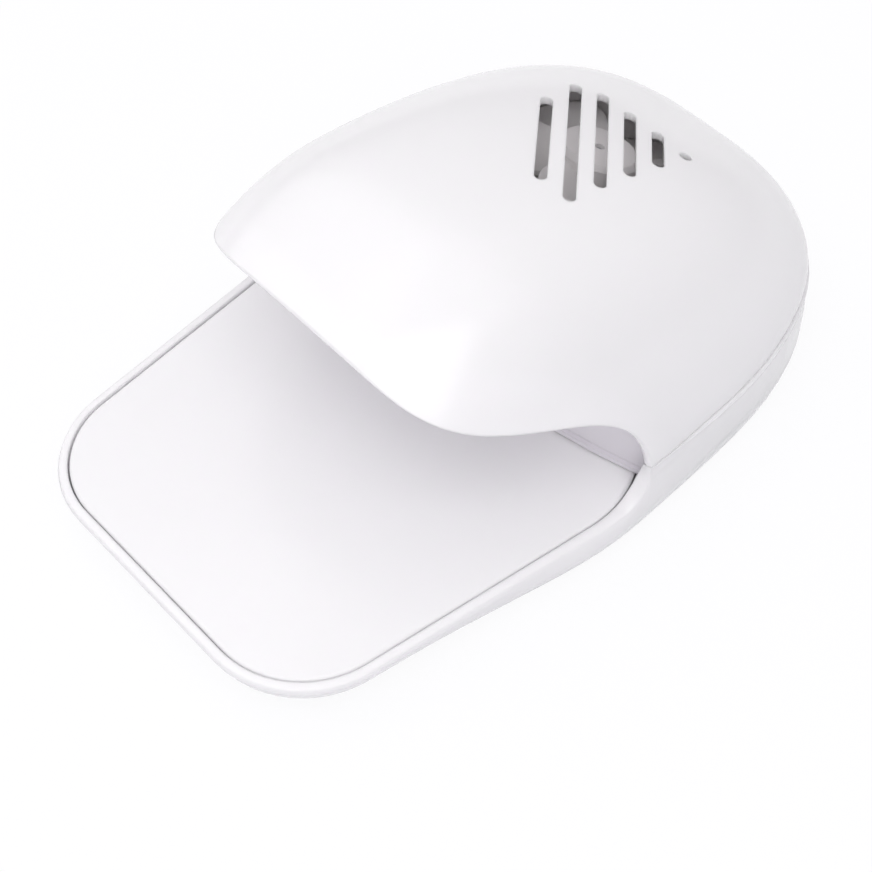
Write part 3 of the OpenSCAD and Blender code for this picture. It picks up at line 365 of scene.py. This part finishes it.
# A grid folded over the lip: its rows run forward inside the shell, round the lip and
# back along the outside; its columns run over the top from edge to edge
ROWS, COLUMNS, LIP_ROWS = 90, 150, 5
LOWEST = 0.028  # angle of the first column of the skin, just above the joint
LIP_ROUNDING = 0.35
TUCK, TUCK_H = 0.4, 6  # how far the skin tucks in at the joint, and over which height
bm = bmesh.new()
bmesh.ops.create_grid(bm, x_segments=COLUMNS + 2, y_segments=2 * ROWS + LIP_ROWS, size=1.0)
lip_ends = {}
for vert in bm.verts:
    i = round((vert.co.x + 1) / 2 * (COLUMNS + 2))
    j = round((vert.co.y + 1) / 2 * (2 * ROWS + LIP_ROWS))
    u = min(1.0, max(0.0, (i - 1) / COLUMNS))
    side = abs(2 * u - 1)
    # The columns lie closest over the crown
    a = math.pi / 2 * (1 - math.copysign(side ** 1.6, 1 - 2 * u))
    a = max(LOWEST, min(math.pi - LOWEST, a))
    if i not in lip_ends:
        lip_ends[i] = (lip_y(a, WALL), lip_y(a, 0.0))
    inside = max(0.0, (ROWS - j) / ROWS)
    outside = max(0.0, (j - ROWS - LIP_ROWS) / ROWS)
    turn = min(1.0, max(0.0, (j - ROWS) / LIP_ROWS))
    if 0 < turn < 1:
        # The lip's edge is rounded between its two faces
        inner, outer = (hood_point(lip_ends[i][k], a, t) for k, t in ((0, WALL), (1, 0.0)))
        place = inner.lerp(outer, turn)
        place.y -= LIP_ROUNDING * math.sin(math.pi * turn)
    else:
        t, lip, v = (WALL, lip_ends[i][0], inside) if j <= ROWS else (0.0, lip_ends[i][1], outside)
        place = hood_point(row_y(lip, REAR_Y - t, v), a, t)
    if i in (0, COLUMNS + 2):
        # The bottom edge closes the shell half way through its wall
        lip, v = sum(lip_ends[i]) / 2, max(inside, outside)
        place = hood_point(row_y(lip, REAR_Y - WALL / 2, v), a, WALL / 2)
        place.z = JOINT_Z
    if turn == 1 or i in (0, COLUMNS + 2):
        # The skin tucks in a little above the joint, but not at the notch
        tuck = TUCK * past_notch(place.y) + NECK * towards_rear(place.y)
        tuck *= max(0.0, 1 - (place.z - JOINT_Z) / TUCK_H) ** 2
        place.x *= 1 - tuck / HOOD_W
        place.y *= 1 - tuck / REAR_Y
    vert.co = place * MM
# The two ends of the grid meet under the wall, and its last rows close at the rear
bmesh.ops.remove_doubles(bm, verts=bm.verts, dist=0.02 * MM)
bmesh.ops.recalc_face_normals(bm, faces=bm.faces)

hood = finished(bm, "hood_moulding", "housing", "shell_white", abs_white, "hood_shell")

# Slots cut through the crown along slanted lines, clipped by a window: five slots, and a
# dot where the sixth line only touches the window's corner
SLOT_ANGLE, SLOT_W, SLOT_PITCH, SLOT_LINES = math.radians(-47.5), 2.5, 5.6, 6
FIRST_LINE = 2.8  # in pitches from the window's left front corner
CUTTER_Z, CUTTER_H = 24.5, 60  # from inside the shell to above its crown
WINDOW_HALF_W, WINDOW_FRONT_Y, WINDOW_REAR_Y = 14.2, 14.3, 48.0
WINDOW_LEAN = 0.2  # its left edge leans inwards towards the front
across = Vector((math.cos(SLOT_ANGLE), math.sin(SLOT_ANGLE)))
normal = Vector((-across.y, across.x))
bm = bmesh.new()
for k in range(SLOT_LINES):
    u = normal.dot(Vector((-WINDOW_HALF_W, WINDOW_FRONT_Y))) + SLOT_PITCH * (FIRST_LINE + k)
    left = Vector(((u - normal.y * WINDOW_REAR_Y) / normal.x, WINDOW_REAR_Y))
    if left.x < -WINDOW_HALF_W:
        left.y = ((u + normal.x * (WINDOW_HALF_W - WINDOW_LEAN * WINDOW_REAR_Y))
                  / (normal.y - normal.x * WINDOW_LEAN))
        left.x = -WINDOW_HALF_W + WINDOW_LEAN * (WINDOW_REAR_Y - left.y)
    right = Vector(((u - normal.y * WINDOW_FRONT_Y) / normal.x, WINDOW_FRONT_Y))
    if right.x > WINDOW_HALF_W:
        right = Vector((WINDOW_HALF_W, (u - normal.x * WINDOW_HALF_W) / normal.y))
    ring = bmesh.ops.create_circle(bm, cap_ends=True, segments=32, radius=SLOT_W / 2 * MM)["verts"]
    for vert in ring:
        end = right if Vector(vert.co[:2]).dot(across) > 0 else left
        vert.co += Vector((end.x, end.y, CUTTER_Z)) * MM
    raised = bmesh.ops.extrude_face_region(bm, geom=list({f for v in ring for f in v.link_faces}))
    bmesh.ops.translate(bm, verts=[g for g in raised["geom"] if isinstance(g, bmesh.types.BMVert)],
                        vec=(0, 0, CUTTER_H * MM))
bmesh.ops.recalc_face_normals(bm, faces=bm.faces)
cutter_mesh = bpy.data.meshes.new("slot_cutter")
bm.to_mesh(cutter_mesh)
bm.free()
cutter = bpy.data.objects.new("slot_cutter", cutter_mesh)
bpy.context.scene.collection.objects.link(cutter)
cut = hood.modifiers.new("slots", "BOOLEAN")
cut.object, cut.operation, cut.solver = cutter, "DIFFERENCE", "EXACT"
bpy.context.view_layer.update()
slotted = hood.evaluated_get(bpy.context.evaluated_depsgraph_get())
cut_mesh = bpy.data.meshes.new_from_object(slotted)
hood.modifiers.remove(cut)
bpy.data.objects.remove(cutter)
bm = bmesh.new()
bm.from_mesh(cut_mesh)
for edge in bm.edges:
    if len(edge.link_faces) == 2:
        edge.smooth = edge.calc_face_angle(0) < math.radians(40)
bm.to_mesh(hood.data)
bm.free()

# Round bosses stand inside the shell for the screws: four upright ones on the case's
# posts, and four along the fan's leaning axis. Each is a foot, a direction and a reach.
POST_REACH, EAR_REACH, EAR_CIRCLE_R = 3.5, 2.9, 27.6
FAN_CENTRE, FAN_TILT = Vector((0, 38.5, 48.4)), math.radians(-20)
bosses = [(Vector((side * x, y, 0)), Vector((0, 0, 1)), POST_REACH)
          for x, y in ((41.0, 27.0), (31.0, 60.5)) for side in (-1, 1)]
to_fan = Matrix.Rotation(FAN_TILT, 3, "X")
bosses += [(to_fan @ Vector((EAR_CIRCLE_R * math.cos(a), EAR_CIRCLE_R * math.sin(a), 0))
            + FAN_CENTRE, to_fan @ Vector((0, 0, 1)), EAR_REACH)
           for a in (math.radians(45 + 90 * k) for k in range(4))]


def in_boss(point):
    """Whether a point lies on or in a boss, and not on either skin of the shell."""
    if point.y > REAR_Y - WALL:
        return False
    # Level with the middle of the wall or further out, a point is on the shell itself
    half_width, height = hood_half_width(point.y, WALL / 2), hood_height(point.y, WALL / 2)
    out = abs(point.x) / half_width
    up = max(0.0, point.z - JOINT_Z) / (height - JOINT_Z)
    if out ** SECTION_X_POWER + up ** SECTION_Z_POWER > 1:
        return False
    return any((point - foot - (point - foot).dot(way) * way).length < reach
               for foot, way, reach in bosses)


bm = joined_copy("hood_shell")
shell_faces = [f for f in bm.faces if not all(in_boss(v.co / MM) for v in f.verts)]
bmesh.ops.delete(bm, geom=shell_faces, context="FACES")
# Their roots, cut free of the shell's skin, are closed again
bmesh.ops.holes_fill(bm, edges=[e for e in bm.edges if e.is_boundary], sides=0)
bmesh.ops.recalc_face_normals(bm, faces=bm.faces)
finished(bm, "hood_bosses", "housing", "shell_white", abs_white)

# ---- Duct panel ---------------------------------------------------------------
# The wall that faces the fingers: a thin ABS panel clipped under the hood, with a
# bead along its foot and rows of outlets for the air. Its tool isn't polished, so the
# panel is satin. Its colour is a tone greyer than the case as painted shade, for the shade under
# the hood.
# Both tones are painted shade: the same white ABS greyed for the shade under the hood
satin_abs_painted_shade = moulded_plastic("abs_white_satin_painted_shade", "#ECEAEE", "#E7E4E9", 0.42, 0.3,
                            grain=(1600.0, 0.1))
finished(joined_copy("air_guide"), "duct_panel", "housing", "shell_white", satin_abs_painted_shade, "air_guide")

# ---- Press plate --------------------------------------------------------------
# The tray's floor is a loose plate of the same ABS, hinged at the rear. Its edge is
# rounded where fingers pass over it.
bm = joined_copy("finger_plate")
DRAFT = 0.2  # its sides draft out towards the top, which leaves a narrow gap there
plate_top = max(v.co.z for v in bm.verts)
rear = max(v.co.y for v in bm.verts)
for vert in bm.verts:
    if vert.co.z > plate_top - 0.01 * MM:
        vert.co.x *= 1 + DRAFT / 44
        vert.co.y = rear + (vert.co.y - rear) * (1 + DRAFT / 80)
bmesh.ops.dissolve_limit(bm, angle_limit=math.radians(0.5), verts=bm.verts, edges=bm.edges)
plate_edge = [e for e in bm.edges if all(abs(v.co.z - plate_top) < 0.01 * MM for v in e.verts)
              and len(e.link_faces) == 2 and e.calc_face_angle(0) > math.radians(60)]
bmesh.ops.bevel(bm, geom=plate_edge, affect="EDGES", offset=0.8 * MM, segments=5, profile=0.5,
                material=-1)
finished(bm, "press_plate", "finger_plate", "shell_white", abs_white, "finger_plate")


# ---- Plate's pins and springs -------------------------------------------------
# Two zinc plated steel pins carry the plate, and two coil springs of the same wire
# lift it. The plating is a cool, slightly blotchy grey.
def plated_metal(name, light_hex, dark_hex, roughness, blotch_mm):
    """A plated metal: blotches of slightly different tone and gloss, blotch_mm across."""
    material, tree = blank_material(name)
    place = add(tree, "ShaderNodeTexCoord").outputs["Object"]
    blotch = add(tree, "ShaderNodeTexNoise", Vector=place, Scale=1 / (blotch_mm * MM), Detail=4.0)
    tone = add(tree, "ShaderNodeMix", {"data_type": "RGBA"}, Factor=blotch.outputs["Fac"],
               i6=linear(light_hex), i7=linear(dark_hex))
    gloss = add(tree, "ShaderNodeMapRange", Value=blotch.outputs["Fac"], To_Min=roughness - 0.06,
                To_Max=roughness + 0.1)
    # Drawn wire and rolled strip keep fine marks, here about 0.2 mm apart
    marks = add(tree, "ShaderNodeTexNoise", Vector=place, Scale=5000.0, Detail=1.0)
    bump = add(tree, "ShaderNodeBump", Height=marks.outputs["Fac"], Strength=0.15,
               Distance=0.01 * MM)
    skin = add(tree, "ShaderNodeBsdfPrincipled", Base_Color=tone.outputs[2], Metallic=1.0,
               Roughness=gloss.outputs[0], Normal=bump.outputs[0])
    add(tree, "ShaderNodeOutputMaterial", Surface=skin.outputs[0])
    return material


zinc_steel = plated_metal("steel_zinc_plated", "#BDBEC1", "#A9ABB0", 0.3, 1.5)


def round_wire(node, name, body, slot, material):
    """A coil or a wire: the CAD tube, its flats joined to quads and rounded by subdivision."""
    bm = joined_copy(node)
    bmesh.ops.join_triangles(bm, faces=bm.faces, angle_face_threshold=math.radians(40),
                             angle_shape_threshold=math.radians(60))
    piece = finished(bm, name, body, slot, material, node, angle=80.0)
    rounding = piece.modifiers.new("rounding", "SUBSURF")
    rounding.levels = rounding.render_levels = 1
    return piece


finished(joined_copy("pivot_pins"), "hinge_pins", "housing", "steel_plain", zinc_steel,
         "pivot_pins")
springs = round_wire("plate_springs", "lift_springs", "housing", "steel_plain", zinc_steel)
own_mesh(springs)

# ---- Switch -------------------------------------------------------------------
# A small tact switch under the plate: body and button of black PBT, matte from its
# glass fibre, with two tinned brass legs.
pbt_black = moulded_plastic("pbt_black_glass_filled", "#202023", "#1A1A1D", 0.5, 0.1, ior=1.55,
                            grain=(3000.0, 0.25))
tinned_brass = plated_metal("brass_tinned", "#CDB06A", "#C09A46", 0.28, 0.8)
finished(joined_copy("switch_body"), "switch_case", "housing", "plastic_black", pbt_black,
         "switch_body")
finished(joined_copy("switch_button"), "switch_plunger", "switch_button", "plastic_black",
         pbt_black, "switch_button")
finished(joined_copy("switch_terminals"), "switch_legs", "housing", "brass_plain", tinned_brass,
         "switch_terminals")

# ---- Fan ----------------------------------------------------------------------
# The impeller and the ring that holds it are moulded in unpolished white PP, which is
# satin, slightly warm and has a fine grain.
pp_white = moulded_plastic("pp_white_satin", "#FAF8F7", "#F6F3F3", 0.4, 0.2, ior=1.49,
                           grain=(1400.0, 0.12))
finished(joined_copy("fan_frame"), "fan_ring", "housing", "plastic_white_matte", pp_white,
         "fan_frame")
finished(joined_copy("fan_impeller"), "fan_rotor", "fan", "plastic_white_matte", pp_white,
         "fan_impeller")

# ---- Motor --------------------------------------------------------------------
# A small brushed motor: a drawn and plated steel can, a steel shaft, and a black end
# cap with two brass tags.
finished(joined_copy("motor_can"), "motor_casing", "housing", "steel_plain", zinc_steel,
         "motor_can")
finished(joined_copy("motor_shaft"), "motor_spindle", "fan", "steel_plain", zinc_steel,
         "motor_shaft")
finished(joined_copy("motor_end_cap"), "motor_cap", "housing", "plastic_black", pbt_black,
         "motor_end_cap")
finished(joined_copy("motor_terminals"), "motor_tags", "housing", "brass_plain", tinned_brass,
         "motor_terminals")


# ---- Cells --------------------------------------------------------------------
# Two plain AA cells side by side: a nickel plated steel can with a nub, in a shrunk
# PVC sleeve that rolls over both ends and carries no print.
def turned(bm, outline, centre, axis):
    """Spins an outline of (along, radius) pairs about the axis through centre, all in mm."""
    along = Vector(axis).normalized()
    aside = along.orthogonal().normalized()
    verts = [bm.verts.new((Vector(centre) + along * x + aside * r) * MM) for x, r in outline]
    edges = [bm.edges.new(pair) for pair in zip(verts, verts[1:])]
    bmesh.ops.spin(bm, geom=verts + edges, cent=Vector(centre) * MM, axis=along,
                   angle=2 * math.pi, steps=64, use_merge=True)
    bmesh.ops.remove_doubles(bm, verts=bm.verts, dist=0.001 * MM)
    bmesh.ops.recalc_face_normals(bm, faces=bm.faces)


nickel = plated_metal("steel_nickel_plated", "#CFCBC2", "#C3BFB5", 0.2, 2.0)
sleeve_pvc = moulded_plastic("pvc_shrink_sleeve", "#3E7A55", "#38714E", 0.3, 0.2, ior=1.54,
                             grain=(700.0, 0.08))
for node, name, way in (("battery_front", "cell_front", -1), ("battery_rear", "cell_rear", 1)):
    low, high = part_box(node)
    middle = (low + high) / 2 / MM
    radius = (high.z - low.z) / 2 / MM
    half = (high.x - low.x) / 2 / MM - 0.5
    centre = (-way * 0.5, middle.y, middle.z)
    can = bmesh.new()
    turned(can, [(-half, 0), (-half, 4.2), (-half + 0.15, 4.6), (-half + 0.15, radius - 0.6),
                 (-half + 0.5, radius - 0.2), (half - 0.5, radius - 0.2),
                 (half - 0.15, radius - 0.6), (half - 0.15, 3.4), (half, 3.0), (half, 2.75),
                 (half + 0.85, 2.75), (half + 1.0, 2.6), (half + 1.0, 0)],
           centre, (way, 0, 0))
    finished(can, name + "_can", "housing", "nickel_strip", nickel)
    sleeve = bmesh.new()
    turned(sleeve, [(-half + 0.12, radius - 1.2), (-half + 0.02, radius - 1.0),
                    (-half + 0.02, radius - 0.5), (-half + 0.5, radius), (half - 0.5, radius),
                    (half - 0.02, radius - 0.5), (half - 0.02, radius - 1.0),
                    (half - 0.12, radius - 1.2), (half - 0.3, radius - 0.3),
                    (-half + 0.3, radius - 0.3), (-half + 0.12, radius - 1.2)],
           centre, (way, 0, 0))
    finished(sleeve, name + "_sleeve", "housing", "cell_wrap", sleeve_pvc, node)

# ---- Contacts -----------------------------------------------------------------
# Strips pressed from nickel plated spring steel, and two cone springs, slid into the
# end walls of the bay.
for node, name in (("contact_bridge", "bridge_strip"), ("contact_positive", "positive_strip"),
                   ("contact_negative", "negative_strip")):
    finished(joined_copy(node), name, "housing", "nickel_strip", nickel, node)
round_wire("battery_springs", "cone_springs", "housing", "nickel_strip", nickel)

# ---- Battery door -------------------------------------------------------------
# The door in the underside is the same ABS as the case. It swings on its rolled front
# edge, where two tongues reach over the bay's cross wall, and a latch holds its rear.
finished(joined_copy("battery_door"), "door_moulding", "battery_door", "shell_white", abs_white,
         "battery_door")

# ---- Screws -------------------------------------------------------------------
# Zinc plated self-tapping screws: four deep in wells hold the case together, and four
# small ones hold the fan's ring to its bosses.
finished(joined_copy("case_screws"), "case_fixings", "housing", "steel_plain", zinc_steel,
         "case_screws")
finished(joined_copy("frame_screws"), "ring_fixings", "housing", "steel_plain", zinc_steel,
         "frame_screws")

# ---- Feet ---------------------------------------------------------------------
# Four moulded rubber discs glued into shallow wells. The rubber is dull and slightly
# powdery, and each foot's lower edge is rounded.
rubber = moulded_plastic("rubber_grey_moulded", "#8F8E93", "#87868B", 0.8, 0.2, ior=1.52,
                         grain=(2500.0, 0.3))
foot_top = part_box("rubber_feet")[1].z / MM
foot_radius = 4.0
feet = bmesh.new()
for x, y in ((30.0, -56.0), (20.0, 66.6)):
    for side in (-1, 1):
        turned(feet, [(0, 0), (0, foot_radius - 0.5), (0.12, foot_radius - 0.2),
                      (0.4, foot_radius), (foot_top, foot_radius), (foot_top, 0)],
               (side * x, y, 0), (0, 0, 1))
finished(feet, "rubber_pads", "housing", "rubber_grey", rubber, "rubber_feet")


# ---- Wires --------------------------------------------------------------------
# Three stranded wires in soft PVC insulation, soldered between the contacts, the
# switch and the motor.
for node, name, slot, light_hex, shade_hex in (
        ("wire_supply", "supply_lead", "wire_red", "#B9291F", "#AE241B"),
        ("wire_switched", "switched_lead", "wire_white", "#EFEDE6", "#E8E5DC"),
        ("wire_return", "return_lead", "wire_black", "#1E1E20", "#18181A")):
    insulation = moulded_plastic("pvc_insulation_" + name, light_hex, shade_hex, 0.4, 0.05,
                                 ior=1.54, grain=(2000.0, 0.1))
    round_wire(node, name, "housing", slot, insulation)
